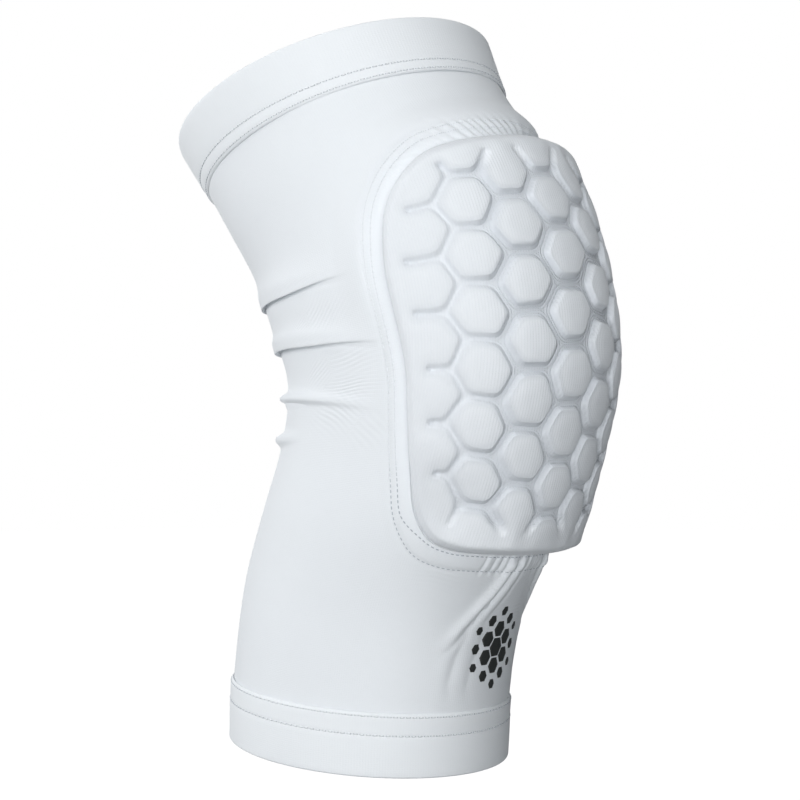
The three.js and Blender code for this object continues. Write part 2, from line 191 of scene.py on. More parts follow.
# The border's section: how far outside the pad's outline, and how high over the cloth below the pad and
# beside it. As many rows as BORDER_TOP says are its upper face.
BORDER_TOP = 18
BORDER_PROFILE = (
    (0.35, 0.1, 0.05),
    (0.4, 0.45, 0.2),
    (0.7, 0.7, 0.25),
    (1.2, 0.5, 0.25),
    (1.7, 0.42, 0.25),
    (2.3, 0.55, 0.28),
    (3.2, 0.62, 0.4),
    (4.2, 0.62, 0.62),
    (5.2, 0.6, 0.85),
    (6.2, 0.58, 0.9),
    (7.0, 0.5, 0.75),
    (7.7, 0.42, 0.5),
    (8.3, 0.25, 0.3),
    (8.7, 0.16, 0.22),
    (9.1, 0.2, 0.18),
    (9.4, 0.05, 0.05),
    (9.6, -0.15, -0.15),
    (9.6, -0.4, -0.4),
    (8.5, -0.4, -0.4),
    (5.0, -0.3, -0.3),
    (2.0, -0.2, -0.2),
)

# The stitches: how high they sit, and the height on the leg below which painted shadow darkens them. A row's
# stitches have a pitch, a length, a width and a height.
STITCH_SEAT = 0.06
SHADOWED_STITCH_HEIGHT = -50.0
INNER_BORDER_STITCH = (2.4, 1.5, 0.5, 0.4)
OUTER_BORDER_STITCH = (2.4, 1.5, 0.45, 0.35)
CUFF_STITCH = (2.9, 2.1, 0.8, 0.6)

# The print on the shin.
PRINT_LIFT = 0.14
PRINT_PITCH = 8.6
PRINT_ALONG = -136.0
PRINT_ACROSS = -4.0
PRINT_HALF_WIDTH = 23.0
PRINT_HALF_HEIGHT = 25.0


def smooth(share):
    clipped = np.clip(share, 0, 1)
    return clipped * clipped * (3 - 2 * clipped)


def bell(distance):
    return np.exp(-distance * distance)


def running_total(steps):
    return np.concatenate([[0], np.cumsum(steps)])


# The leg's surface


def section_places():
    shares = LEG_SECTIONS[:, 0]
    return shares * np.where(shares < 0, SHIN_LENGTH, THIGH_LENGTH)


def table_at(places, values, at):
    """A table's column between its rows, on a smooth curve through them."""
    slopes = np.gradient(values, places)
    slopes[1:-1] = (values[2:] - values[:-2]) / (places[2:] - places[:-2])
    low = np.clip(np.searchsorted(places, at) - 1, 0, len(places) - 2)
    span = places[low + 1] - places[low]
    share = np.clip((at - places[low]) / span, 0, 1)
    bend = smooth(share)
    lean = slopes[low] * (1 - share) - slopes[low + 1] * share
    return values[low] * (1 - bend) + values[low + 1] * bend + span * share * (1 - share) * lean


def section(along):
    """Half the depth and width of the leg's section, and how far back its middle lies."""
    places = section_places()
    depth, width, back = (table_at(places, LEG_SECTIONS[:, column], along) for column in (1, 2, 3))
    return depth * KNEE_HALF_DEPTH, width * KNEE_HALF_WIDTH, back * KNEE_HALF_DEPTH


def axis_lean(along):
    turn = smooth((along + BEND_HALF_LENGTH) / (2 * BEND_HALF_LENGTH))
    return -SHIN_LEAN + (SHIN_LEAN + THIGH_LEAN) * turn


AXIS_PLACES = np.linspace(-240, 180, 4201)


def axis_sum(slopes):
    steps = (slopes[1:] + slopes[:-1]) / 2 * np.diff(AXIS_PLACES)
    total = running_total(steps)
    return total - np.interp(0, AXIS_PLACES, total)


AXIS_Y = axis_sum(np.sin(axis_lean(AXIS_PLACES)))
AXIS_Z = axis_sum(np.cos(axis_lean(AXIS_PLACES)))


def leg_point(along, angle, lift):
    """Points of the leg's surface, lifted off it along the section's normal."""
    depth, width, back = section(along)
    lean = axis_lean(along)
    toward_side, toward_front = np.sin(angle) / width, np.cos(angle) / depth
    length = np.hypot(toward_side, toward_front)
    side = width * np.sin(angle) + lift * toward_side / length
    front = depth * np.cos(angle) + lift * toward_front / length - back
    y = np.interp(along, AXIS_PLACES, AXIS_Y) - front * np.cos(lean)
    z = np.interp(along, AXIS_PLACES, AXIS_Z) + front * np.sin(lean)
    return np.stack(np.broadcast_arrays(side, y, z), -1)


def radius(along):
    depth, width, _ = section(along)
    return (depth + width) / 2


def hem_slant(along, angle):
    near_hem = smooth((np.abs(along) - BEND_HALF_LENGTH) / CUFF_HEIGHT)
    return -np.sign(along) * HEM_SLANT * near_hem * np.cos(angle)


# The pad's outline


def closed_curve(points, count):
    """Evenly spaced places on a smooth closed curve through some points, with headings and lengths."""
    before, after = np.roll(points, 1, 0), np.roll(points, -1, 0)
    beyond = np.roll(points, -2, 0)
    first, middle, last = (
        np.sqrt(np.linalg.norm(b - a, axis=1))[:, None]
        for a, b in ((before, points), (points, after), (after, beyond))
    )
    leaving = (points - before) / first - (after - before) / (first + middle) + (after - points) / middle
    arriving = (after - points) / middle - (beyond - points) / (middle + last) + (beyond - after) / last
    leaving, arriving = leaving * middle, arriving * middle
    share = np.linspace(0, 1, 60, endpoint=False)[:, None, None]
    cubed = 2 * points - 2 * after + leaving + arriving
    squared = -3 * points + 3 * after - 2 * leaving - arriving
    curve = ((cubed * share + squared) * share + leaving) * share + points
    curve = curve.transpose(1, 0, 2).reshape(-1, 2)
    curve = np.concatenate([curve, curve[:1]])
    gone = running_total(np.linalg.norm(np.diff(curve, axis=0), axis=1))
    at = np.linspace(0, gone[-1], count, endpoint=False)
    places = np.stack([np.interp(at, gone, curve[:, i]) for i in (0, 1)], -1)
    heading = np.roll(places, -1, 0) - np.roll(places, 1, 0)
    return places, heading / np.linalg.norm(heading, axis=1)[:, None], at


def pad_outline(count):
    rows = np.array(PAD_OUTLINE)
    right = np.stack([rows[:, 1] * PAD_WIDTH / 2, rows[:, 0] * PAD_HEIGHT - PAD_LOWER_LENGTH], -1)
    left = (right * (-1, 1))[::-1]
    return closed_curve(np.concatenate([right, left]), count)


def pushed_in(places, heading, inset):
    return places + np.stack([-heading[:, 1], heading[:, 0]], -1) * inset


OUTLINE, OUTLINE_HEADING, OUTLINE_GONE = pad_outline(1200)
OUTLINE_LENGTH = OUTLINE_GONE[-1] + OUTLINE_GONE[1]


def outline_tree():
    tree = kdtree.KDTree(len(OUTLINE))
    for i, (across, along) in enumerate(OUTLINE):
        tree.insert((across, along, 0), i)
    tree.balance()
    return tree


OUTLINE_TREE = outline_tree()


def from_outline(across, along):
    """How far places lie outside the pad's outline, and where along it the nearest point is."""
    flat = np.stack([across, along], -1).reshape(-1, 2)
    nearest = np.array([OUTLINE_TREE.find((x, y, 0))[1] for x, y in flat.tolist()])
    heading = OUTLINE_HEADING[nearest]
    apart = flat - OUTLINE[nearest]
    outside = apart[:, 0] * heading[:, 1] - apart[:, 1] * heading[:, 0]
    ahead = (apart * heading).sum(1)
    full = np.linalg.norm(apart, axis=1)
    outside = np.where(np.abs(ahead) > 1.0, np.sign(outside) * full, outside)
    return (
        outside.reshape(across.shape),
        OUTLINE_GONE[nearest].reshape(across.shape),
        OUTLINE[nearest].reshape(*across.shape, 2),
    )


# The cloth's relief


def from_back_of(angle):
    """How far round the leg a place is from the middle of the back, rounded off there."""
    return np.hypot(math.pi - np.abs(angle), 0.12)


def fold_line(tip, halfway, back, inward):
    """How high a fold's ridge lies, from its tip, at 0, to the middle of the back, at 1."""
    gone = np.clip(inward, 0, 1)
    bent = tip * (1 - gone) * (1 - 2 * gone) + 4 * halfway * gone * (1 - gone) + back * gone * (2 * gone - 1)
    return bent * SHIN_LENGTH


def fold_relief(along, angle):
    """How far the folds behind the knee lift the cloth, and how far they let it slip down the leg."""
    from_back = from_back_of(angle)
    lift = np.zeros(np.broadcast(along, angle).shape)
    slip = np.zeros_like(lift)
    for tip, halfway, back, reach, swell, height, above, below, lip, plumpness in KNEE_FOLDS:
        inward = 1 - from_back / math.radians(reach)
        line = fold_line(tip, halfway, back, inward)
        strength = smooth(swell * inward)
        over = along - line
        under = below * (0.5 + 0.5 * strength)
        lift += height * strength * np.exp(-(np.abs(over / np.where(over > 0, above, under)) ** plumpness))
        lift -= 0.12 * lip * smooth(3.4 * inward) * bell((over + 3.4) / 1.3)
        slip += lip * strength * bell(over / 1.5)
    return lift, slip


def gather_wave(gone, pitch):
    """The uneven small gathers of cloth that is drawn in along a seam, from 0 to 1."""
    drift = 1.1 * np.sin(gone / 7.3) + 0.8 * np.sin(gone / 3.9 + 1.3)
    wave = (1 + np.cos(FULL_TURN * (gone + drift) / pitch)) / 2
    uneven = 0.62 + 0.38 * np.sin(gone / 11.0 + 0.6)
    return wave**1.4 * uneven


def line_distance(across, along, line):
    """The signed distance from a line of places, positive on its left, and the share of it gone by."""
    best = np.full(across.shape, 1e9)
    signed = np.zeros(across.shape)
    gone = np.zeros(across.shape)
    for i, (a, b) in enumerate(zip(line[:-1], line[1:])):
        way = b - a
        length = np.hypot(*way)
        share = np.clip(((across - a[0]) * way[0] + (along - a[1]) * way[1]) / length**2, 0, 1)
        apart_x, apart_y = across - a[0] - share * way[0], along - a[1] - share * way[1]
        distance = np.hypot(apart_x, apart_y)
        side = np.sign(way[0] * (along - a[1]) - way[1] * (across - a[0]))
        closer = distance < best
        best = np.where(closer, distance, best)
        signed = np.where(closer, side * distance, signed)
        gone = np.where(closer, (i + share) / (len(line) - 1), gone)
    return signed, gone


def pull_relief(along, angle):
    """The folds that fan out below the pad: a ridge beside a crease, both fading along the fold."""
    lift = np.zeros(np.broadcast(along, angle).shape)
    reach = radius(along)
    for height, width, line in PULL_FOLDS:
        places = np.array([(math.radians(turn) * radius(np.array(float(s))), s) for s, turn in line])
        across, up = np.broadcast_arrays(angle * reach, along)
        signed, gone = line_distance(across, up, places)
        outer = signed * (1 if places[-1, 0] > places[0, 0] else -1)
        fade = smooth((1 - gone) / 0.55) * smooth(gone / 0.02 + 0.6)
        ridge = bell((outer - 1.1 * width) / width)
        crease = bell(outer / (0.42 * width))
        beside = bell((outer + 1.2 * width) / width)
        lift += height * fade * (ridge - 0.85 * crease + 0.3 * beside)
    return lift


def tuck_relief(across, along, outside):
    """The narrow tucks that lean away from the middle, between the two seams below the pad."""
    lift = np.zeros(across.shape)
    reach = radius(along)
    for turn in TUCKS:
        side = math.copysign(1, turn)
        apart = side * (across - math.radians(turn) * reach) - 0.16 * outside - 0.3 * math.sin(turn)
        lift += 0.3 * bell((apart + 1.6) / 1.1) - (0.75 + 0.2 * math.cos(turn)) * bell(apart / 0.7)
    below = smooth((PAD_MIDDLE - PAD_HEIGHT * 0.4 - along) / 8)
    return lift * below * smooth((outside - 0.4) / 1.2) * (1 - smooth((outside - 7.4) / 5))


def seam_relief(across, along):
    """The cloth round the pad: gathers above it, tucks below it, and a low roll beyond the outer seam."""
    outside, gone, nearest = from_outline(across, along)
    from_middle = np.abs(nearest[..., 1] - PAD_MIDDLE) / PAD_HEIGHT
    below = nearest[..., 1] < PAD_MIDDLE
    side = np.tanh(nearest[..., 0] / 14)
    gathered = smooth((from_middle - 0.41) / 0.07)
    wave = gather_wave(gone + side * outside, 4.4)
    near = smooth((outside + 0.5) / 2.2) * (1 - smooth((outside - 5) / 11))
    lift = gathered * np.where(below, 0.2, 1.3) * near * wave
    lift += tuck_relief(across, along, outside)
    upper_side = smooth((nearest[..., 1] + 10) / 50)
    lift += 3.3 * upper_side * smooth((outside - 4) / 8) * (1 - smooth((outside - 12) / 13))
    lift += 0.3 * (1 - gathered) * bell((outside - 10.2) / 1.8)
    lift -= 0.25 * bell((outside - 8.7) / 0.8) * np.where(below & (gathered > 0), 1.0, 0.4)
    return lift, outside


def cloth_relief(along, angle):
    """The lift and the slip of the knit over the leg's surface."""
    lift, slip = fold_relief(along, angle)
    around, outside = seam_relief(angle * radius(along), along + 0 * angle)
    lift = lift + around + pull_relief(along, angle) * smooth((outside - 1) / 5)
    body = 0.35 * np.sin(along / 17 + 2.1 * np.sin(angle * 2)) * np.sin(angle * 3 + along / 40)
    lift += body * smooth((outside - 9) / 12)
    return lift, slip


def wrinkle_waves(along, angle):
    """For each point, the phases and strengths of the fine wrinkles, in two sets of patches that overlap."""
    phase = np.zeros((2, *np.broadcast(along, angle).shape))
    strength = np.zeros_like(phase)
    across = np.abs(angle) * radius(along)
    for i, (middle, turn, half_height, half_width, slope, pitch, depth) in enumerate(WRINKLES):
        up = along - middle
        aside = math.radians(turn) * radius(np.array(float(middle))) - across
        here = depth * bell(up / half_height) * bell(aside / half_width)
        slope = math.radians(slope)
        waves = (up * math.cos(slope) - aside * math.sin(slope)) / pitch
        waves += 0.25 * np.sin(aside / 4.1 + middle) + 0.2 * np.sin(up / 3.3)
        phase[i % 2] = np.where(here > strength[i % 2], waves, phase[i % 2])
        strength[i % 2] = np.maximum(strength[i % 2], here)
    return phase, strength


# Meshes


def piece_from(name, points, faces, corners):
    """A mesh object in metres. Corners holds each face corner's place on the flat cloth."""
    mesh = bpy.data.meshes.new(name)
    mesh.from_pydata((points * METRES).tolist(), [], faces)
    layer = mesh.uv_layers.new(name="cloth", do_init=False)
    layer.uv.foreach_set("vector", np.asarray(corners, np.float32).ravel())
    mesh.shade_smooth()
    mesh.update()
    piece = bpy.data.objects.new(name, mesh)
    bpy.context.scene.collection.objects.link(piece)
    return piece


def point_values(piece, name, values):
    attribute = piece.data.attributes.new(name, "FLOAT", "POINT")
    attribute.data.foreach_set("value", np.asarray(values, np.float32).ravel())


def grid_quads(rows, columns):
    """The quads of a grid of points that closes on itself both ways, row by row."""
    row, column = np.meshgrid(np.arange(rows), np.arange(columns), indexing="ij")
    next_row, next_column = (row + 1) % rows, (column + 1) % columns
    corners = (
        row * columns + column,
        row * columns + next_column,
        next_row * columns + next_column,
        next_row * columns + column,
    )
    return np.stack([corner.ravel() for corner in corners], -1)


def ring_piece(name, loops, cloth):
    """A closed solid from loops that go round its wall. Cloth has one more row and column than loops."""
    corners = np.stack([cloth[:-1, :-1], cloth[:-1, 1:], cloth[1:, 1:], cloth[1:, :-1]], 2)
    faces = grid_quads(*loops.shape[:2]).tolist()
    return piece_from(name, loops.reshape(-1, 3), faces, corners)


def cloth_round_leg(angles, along):
    """Where a ring's points lie on the flat cloth, with the first row and column once more at the end."""
    rows = np.concatenate([along, along[:1]])
    rows = np.concatenate([rows, rows[:, :1]], 1)
    around = np.append(angles, angles[0] + FULL_TURN) * KNEE_HALF_WIDTH
    return np.stack([np.broadcast_to(around, rows.shape), rows], -1)


def spread_rows(low, high, count, angle):
    """Places up the leg at one angle, closer together at the folds behind the knee."""
    fine = np.linspace(low, high, 1500)
    crowd = np.ones_like(fine)
    for tip, halfway, back, reach, *_ in KNEE_FOLDS:
        inward = 1 - from_back_of(angle) / math.radians(reach)
        line = fold_line(tip, halfway, back, inward)
        crowd += 3.0 * smooth(2 * inward + 0.3) * bell((fine - line + 1.8) / 4.2)
    total = running_total((crowd[1:] + crowd[:-1]) / 2)
    return np.interp(np.linspace(0, total[-1], count), total, fine)


def make_sleeve():
    columns, outer_rows, inner_rows = 304, 280, 34
    fine = np.linspace(-math.pi, math.pi, 2001)
    crowd = 1 + bell(fine / math.radians(45))
    total = running_total((crowd[1:] + crowd[:-1]) / 2)
    angles = np.interp((np.arange(columns) + 0.5) / columns * total[-1], total, fine)
    low = -SHIN_LENGTH + CUFF_HEIGHT - CUFF_OVERLAP
    high = THIGH_LENGTH - CUFF_HEIGHT + CUFF_OVERLAP
    along = np.stack([spread_rows(low, high, outer_rows, angle) for angle in angles], 1)
    inner = np.repeat(np.linspace(high, low, inner_rows)[:, None], columns, 1)
    turned = np.broadcast_to(angles, along.shape)
    up = along + hem_slant(along, turned)
    lift, slip = cloth_relief(up, turned)
    outside = leg_point(up - slip, turned, lift)
    turned_in = np.broadcast_to(angles, inner.shape)
    inner_up = inner + hem_slant(inner, turned_in)
    inner_lift, _ = cloth_relief(inner_up, turned_in)
    inside = leg_point(inner_up, turned_in, np.minimum(inner_lift, 3.0) - CLOTH_WALL)
    cloth = cloth_round_leg(angles, np.concatenate([along, inner]))
    sleeve = ring_piece("knit_sleeve", np.concatenate([outside, inside]), cloth)
    plain = np.zeros_like(inner)
    phase, strength = wrinkle_waves(up, turned)
    for i in (0, 1):
        point_values(sleeve, f"wrinkle_phase_{i}", np.concatenate([phase[i], plain]))
        point_values(sleeve, f"wrinkle_share_{i}", np.concatenate([strength[i], plain]))
    return sleeve


def make_cuff(name, hem, toward_knee, second_row):
    """A doubled cuff, with a row of stitching near its lip and a second one further from it."""
    columns = 420
    angles = (np.arange(columns) + 0.5) / columns * FULL_TURN - math.pi
    outer = CUFF_FACE
    inner = SEAT_GAP - CUFF_LAYER
    middle, half = (outer + inner) / 2, (outer - inner) / 2
    tube_end = CUFF_HEIGHT - CUFF_OVERLAP
    first, second = FIRST_ROW, CUFF_HEIGHT - second_row
    turns = np.linspace(-1.2, 1.57, 8)
    swelling = np.linspace(3, second - 1.3, 12)
    profile = [(half * (1 - math.cos(t)) * 0.9, middle + half * math.sin(t)) for t in turns]
    profile += [(s, outer + 0.15 * math.sin(math.pi * (s - 2) / second)) for s in swelling]
    profile += [(second - 0.8, outer - 0.04), (second, outer - 0.26), (second + 0.8, outer - 0.06)]
    profile += [(s, outer - 0.05) for s in np.linspace(second + 1.5, first - 1.3, 5)]
    profile += [(first - 0.6, outer - 0.15), (first, outer - 0.4), (first + 0.5, outer - 0.3)]
    profile += [(CUFF_HEIGHT - 0.3, outer - 0.6), (CUFF_HEIGHT + 0.3, outer - 1.0), (CUFF_HEIGHT + 0.3, 0.12)]
    profile += [(tube_end + SEAT_GAP, 0.12), (tube_end - SEAT_GAP, 0.1), (tube_end - SEAT_GAP, inner)]
    profile += [(s, inner) for s in np.linspace(tube_end - 4, 3, 4)]
    profile = np.array(profile)
    from_hem, lift = profile[:, 0], profile[:, 1]
    along = (hem + toward_knee * from_hem)[:, None] + 0 * angles
    turned = np.broadcast_to(angles, along.shape)
    up = along + hem_slant(along, turned)
    loops = leg_point(up, turned, np.broadcast_to(lift[:, None], along.shape))
    cloth = cloth_round_leg(angles, along)
    if toward_knee < 0:
        loops, cloth = loops[::-1], cloth[::-1]
    return ring_piece(name, loops, cloth)


# The border, the stitches and the print


def side_share(along):
    """How much of the border's form beside the pad holds at a height, rather than the one below it."""
    return smooth((along - PAD_MIDDLE + 0.48 * PAD_HEIGHT) / 15)


def make_border():
    columns = 900
    places, heading, gone = pad_outline(columns)
    profile = np.array(BORDER_PROFILE)
    loops = []
    for outside, low, beside in profile:
        spot = pushed_in(places, heading, -outside)
        across, along = spot[:, 0], spot[:, 1]
        angle = across / radius(along)
        relief, _ = cloth_relief(along, angle)
        lift = low + (beside - low) * side_share(places[:, 1])
        loops.append(leg_point(along, angle, relief + lift))
    loops = np.array(loops)
    around = np.append(gone, OUTLINE_LENGTH)
    run = np.append(profile[:, 0], profile[0, 0])
    cloth = np.stack(np.broadcast_arrays(around[None, :], run[:, None]), -1)
    return ring_piece("seam_border", loops[::-1], cloth[::-1])


def cell_place(column, row):
    outward = column / CELL_COLUMN_REACH
    along = CELL_ROW_START + row * CELL_ROW_PITCH + CELL_ROW_RISE * outward * outward
    from_knee = along / (PAD_HEIGHT / 2)
    across = column * CELL_COLUMN_PITCH * (1 - CELL_TAPER * from_knee * from_knee)
    shift = CELL_SHIFT * bell(column / 1.3) * bell((along - 24) / 26)
    return np.array([across + shift, along])


def inside_loop(loop, place):
    a, b = loop, np.roll(loop, -1, 0)
    spans = (a[:, 1] > place[1]) != (b[:, 1] > place[1])
    with np.errstate(divide="ignore", invalid="ignore"):
        crossing = a[:, 0] + (place[1] - a[:, 1]) / (b[:, 1] - a[:, 1]) * (b[:, 0] - a[:, 0])
    return bool((spans & (place[0] < crossing)).sum() % 2)


def share_inside(loop, start, beyond):
    """How much of a line from a place inside a loop stays inside it."""
    good, bad = 0.0, 1.0
    for _ in range(12):
        half = (good + bad) / 2
        if inside_loop(loop, start + (beyond - start) * half):
            good = half
        else:
            bad = half
    return good


def channel_lines():
    """The channels' middle lines on the cells' face: pairs of places, and whether the second is an end."""
    places, heading, _ = pad_outline(200)
    edge = pushed_in(places, heading, PAD_EDGE + CHANNEL_STOP)
    face = radius(edge[:, 1])
    edge = np.stack([edge[:, 0] * (face + PAD_THICKNESS) / face, edge[:, 1]], -1)
    lines = []
    rows = math.ceil(PAD_HEIGHT / CELL_ROW_PITCH)
    for column in range(-CELL_COLUMN_REACH, CELL_COLUMN_REACH + 1):
        for step in range(-rows, rows + 1):
            row = step + (column % 2) / 2
            corners = [
                cell_place(column - 1 / 3, row + 1 / 2),
                cell_place(column + 1 / 3, row + 1 / 2),
                cell_place(column + 2 / 3, row),
                cell_place(column + 1 / 3, row - 1 / 2),
            ]
            kept = 4 if column < CELL_COLUMN_REACH else 2
            for a, b in zip(corners[: kept - 1], corners[1:kept]):
                if a[1] < FACE_LOW and b[1] < FACE_LOW:
                    continue
                in_a, in_b = inside_loop(edge, a), inside_loop(edge, b)
                if in_a and in_b:
                    lines.append((a, b, False))
                elif in_a or in_b:
                    start, beyond = (a, b) if in_a else (b, a)
                    kept_share = share_inside(edge, start, beyond)
                    if kept_share * np.linalg.norm(beyond - start) > CHANNEL_STUB:
                        lines.append((start, start + (beyond - start) * kept_share, True))
    return lines


def channel_distance(across, along, stretch):
    """The distance over the face from the channels' lines, rounded where they meet, and from their ends."""
    total = np.zeros(across.shape)
    from_end = np.full(across.shape, 1e9)
    for a, b, open_end in channel_lines():
        way_x, way_y = b[0] - a[0], (b[1] - a[1]) * stretch
        from_x, from_y = across - a[0], (along - a[1]) * stretch
        share = np.clip((from_x * way_x + from_y * way_y) / (way_x**2 + way_y**2), 0, 1)
        total += np.exp(-np.hypot(from_x - share * way_x, from_y - share * way_y) / CELL_ROUNDING)
        if open_end:
            from_end = np.minimum(from_end, np.hypot(from_x - way_x, from_y - way_y))
    return -CELL_ROUNDING * np.log(np.maximum(total, 1e-12)), from_end


def face_stretch(along, angle, lift):
    """How much longer the cloth's outside is than the leg's axis, where the knee bends."""
    depth, _, back = section(along)
    turning = (axis_lean(along + 1) - axis_lean(along - 1)) / 2
    return 1 + turning * ((depth + lift) * np.cos(angle) - back)


def make_pad():
    """The pad, from rings that go out under it, up its rounded edge and over the cells to its middle."""
    columns, edge_rows, top_rows = 640, 11, 112
    places, heading, _ = pad_outline(columns)
    steep = smooth((np.abs(places[:, 0]) - 55) / 22)
    low = smooth((-58 - places[:, 1]) / 20)
    corner = smooth((np.abs(places[:, 0]) - 24) / 30) * smooth((-50 - places[:, 1]) / 26)
    run = (PAD_EDGE * (1 - 0.35 * np.maximum(steep, low) - 0.1 * corner))[:, None]
    foot = PAD_FOOT * (1 - 0.4 * corner)
    rings, lifts = [], []
    for share in np.linspace(0.34, 1, 3):
        rings.append((0, PAD_MIDDLE) + (places - (0, PAD_MIDDLE)) * share)
        lifts.append(np.zeros(columns))
    for share in np.linspace(0, 1, edge_rows):
        rings.append(pushed_in(places, heading, share**1.4 * run))
        rounded = math.sqrt(1 - (1 - share**1.4) ** 2)
        lifts.append(PAD_THICKNESS * (foot + (1 - foot) * rounded))
    flat = pushed_in(places, heading, run)
    for share in np.linspace(1, 0.008, top_rows)[1:]:
        rings.append((0, PAD_MIDDLE) + (flat - (0, PAD_MIDDLE)) * share)
        lifts.append(np.full(columns, PAD_THICKNESS))
    rings, lifts = np.array(rings), np.array(lifts)
    top = lifts > 0.9 * PAD_THICKNESS
    across, along = rings[..., 0], rings[..., 1]
    lifts *= 1 - PAD_THINNING * smooth((np.abs(across) - 40) / 50)
    lifts *= 1 - 0.55 * smooth((np.abs(across) - 24) / 44) * smooth((-44 - along) / 34)
    angle = across / radius(along)
    face_across = angle * (radius(along) + PAD_THICKNESS)
    stretch = face_stretch(along, angle, PAD_THICKNESS)
    swayed = face_across + 0.45 * np.sin(along / 6.1 + 1.3) + 0.3 * np.sin(face_across / 8.7 + along / 3.9)
    risen = along + 0.4 * np.sin(face_across / 5.3) + 0.25 * np.sin(along / 4.7 + face_across / 11)
    distance, from_end = channel_distance(swayed, risen, stretch)
    outward = smooth((np.abs(face_across) - 52) / 26)
    central = bell((along - 7) / 24) * bell(face_across / 52)
    beside = smooth((np.abs(face_across) - 42) / 20) * smooth((risen + 74) / 14)
    half_mouth = (CHANNEL_HALF_MOUTH + CHANNEL_WIDENING * central) * (1 - 0.3 * outward)
    sunk = 1 - smooth((distance - half_mouth + CHANNEL_SLOPE) / (1.25 * CHANNEL_SLOPE))
    crown = CELL_CROWN * smooth((distance - half_mouth) / 6)
    fading = 1 - 0.6 * (1 - beside) * (1 - smooth(from_end / 9))
    fading = fading * (1 - 0.9 * smooth((-75 - risen) / 8))
    depth = CHANNEL_DEPTH * (1 - 0.3 * outward + 0.15 * central) * fading
    pit = CHANNEL_END_PIT * bell(from_end / 1.1) * beside
    relief = np.where(top, crown - depth * sunk - pit, 0)
    points = leg_point(along, angle, CURVE_GAP + lifts + relief)
    count = points.shape[0]
    faces = grid_quads(count, columns)[:-columns].tolist()
    cloth = np.stack([face_across, along], -1).reshape(-1, 2)
    corners = cloth[np.array(faces)].reshape(-1, 2)
    ends = [list(range(columns))[::-1], list(range((count - 1) * columns, count * columns))]
    middles = []
    flat_points = points.reshape(-1, 3)
    total = len(flat_points)
    extra = []
    for loop in ends:
        centre = flat_points[loop].mean(0)
        extra.append(centre)
        apex = total + len(extra) - 1
        for i, a in enumerate(loop):
            b = loop[(i + 1) % columns]
            faces.append([a, b, apex])
            middles += [cloth[a], cloth[b], cloth[loop].mean(0)]
    corners = np.concatenate([corners, np.array(middles)])
    pad = piece_from("honeycomb_face", np.concatenate([flat_points, extra]), faces, corners)
    # The distance from the channels and the channels' width drive their ripples and the painted shade in
    # them.
    from_channel = np.where(top, distance + 8 * (1 - fading), FAR_FROM_CHANNEL)
    point_values(pad, "channel", np.append(from_channel, [FAR_FROM_CHANNEL] * 2))
    wide = (1 - outward) * fading**2 * (0.45 + 0.55 * central)
    point_values(pad, "wide_channel", np.append(np.where(top, wide, 0), [0, 0]))
    return pad


def closed_line(points, over):
    """A closed line's points, the points a little over them, and how far along it each lies."""
    points, over = (np.concatenate([line, line[:1]]) for line in (points, over))
    gone = running_total(np.linalg.norm(np.diff(points, axis=0), axis=1))
    return points, over, gone


def make_stitches(name, rows):
    """Small rounded bars of thread, one for each stitch, along closed lines on the cloth.

    Each row holds its line, the line over that, and the stitches' pitch, length, width and height.
    """
    sunk = []
    share = np.array([-1, -0.78, 0, 0.78, 1])
    fullness = np.array([0.3, 0.85, 1, 0.85, 0.3])
    sides = 6
    spin = np.arange(sides) / sides * FULL_TURN
    points, flat = [], []
    for line, over, pitch, length, width, height in rows:
        line, over, gone = closed_line(line, over)
        count = round(gone[-1] / pitch)
        middles = (np.arange(count) + 0.5) / count * gone[-1]
        at = middles[:, None] + share * length / 2
        spot, above, ahead = (
            np.stack([np.interp(where % gone[-1], gone, track[:, i]) for i in range(3)], -1)
            for where, track in ((at, line), (at, over), (at + 0.2, line))
        )
        way = ahead - spot
        way /= np.linalg.norm(way, axis=-1, keepdims=True)
        normal = above - spot
        normal /= np.linalg.norm(normal, axis=-1, keepdims=True)
        aside = np.cross(way, normal)
        thick = fullness[None, :, None, None]
        ring = aside[:, :, None, :] * np.cos(spin)[:, None] * width / 2
        ring = ring + normal[:, :, None, :] * np.sin(spin)[:, None] * height / 2
        points.append((spot[:, :, None, :] + thick * ring).reshape(-1, 3))
        # Stitches low on the leg take a share of painted shadow in their colour.
        sunk.append(np.repeat(smooth((SHADOWED_STITCH_HEIGHT - spot[:, 2, 2]) / 22), len(share) * sides))
        place = np.broadcast_to(at[:, :, None], (count, len(share), sides))
        flat.append(np.stack([place, np.broadcast_to(spin * width, place.shape)], -1).reshape(-1, 2))
    points, flat = np.concatenate(points), np.concatenate(flat)
    each = len(share) * sides
    stitch = np.arange(len(points) // each)[:, None, None] * each
    ring, corner = np.arange(len(share) - 1)[:, None] * sides, np.arange(sides)
    turned = (corner + 1) % sides
    quads = np.stack([ring + corner, ring + turned, ring + sides + turned, ring + sides + corner], -1)
    quads = (stitch[..., None] + quads[None]).reshape(-1, 4)
    caps = np.stack([corner[::-1], corner + each - sides])
    caps = (stitch + caps[None]).reshape(-1, sides)
    corners = np.concatenate([flat[quads].reshape(-1, 2), flat[caps].reshape(-1, 2)])
    piece = piece_from(name, points, quads.tolist() + caps.tolist(), corners)
    # How far each point lies towards its stitch's ends, which are darkened with painted shadow.
    ends = np.tile(np.repeat(np.abs(share), sides), len(points) // each)
    point_values(piece, "stitch_end", ends)
    point_values(piece, "sunk", np.concatenate(sunk))
    return piece


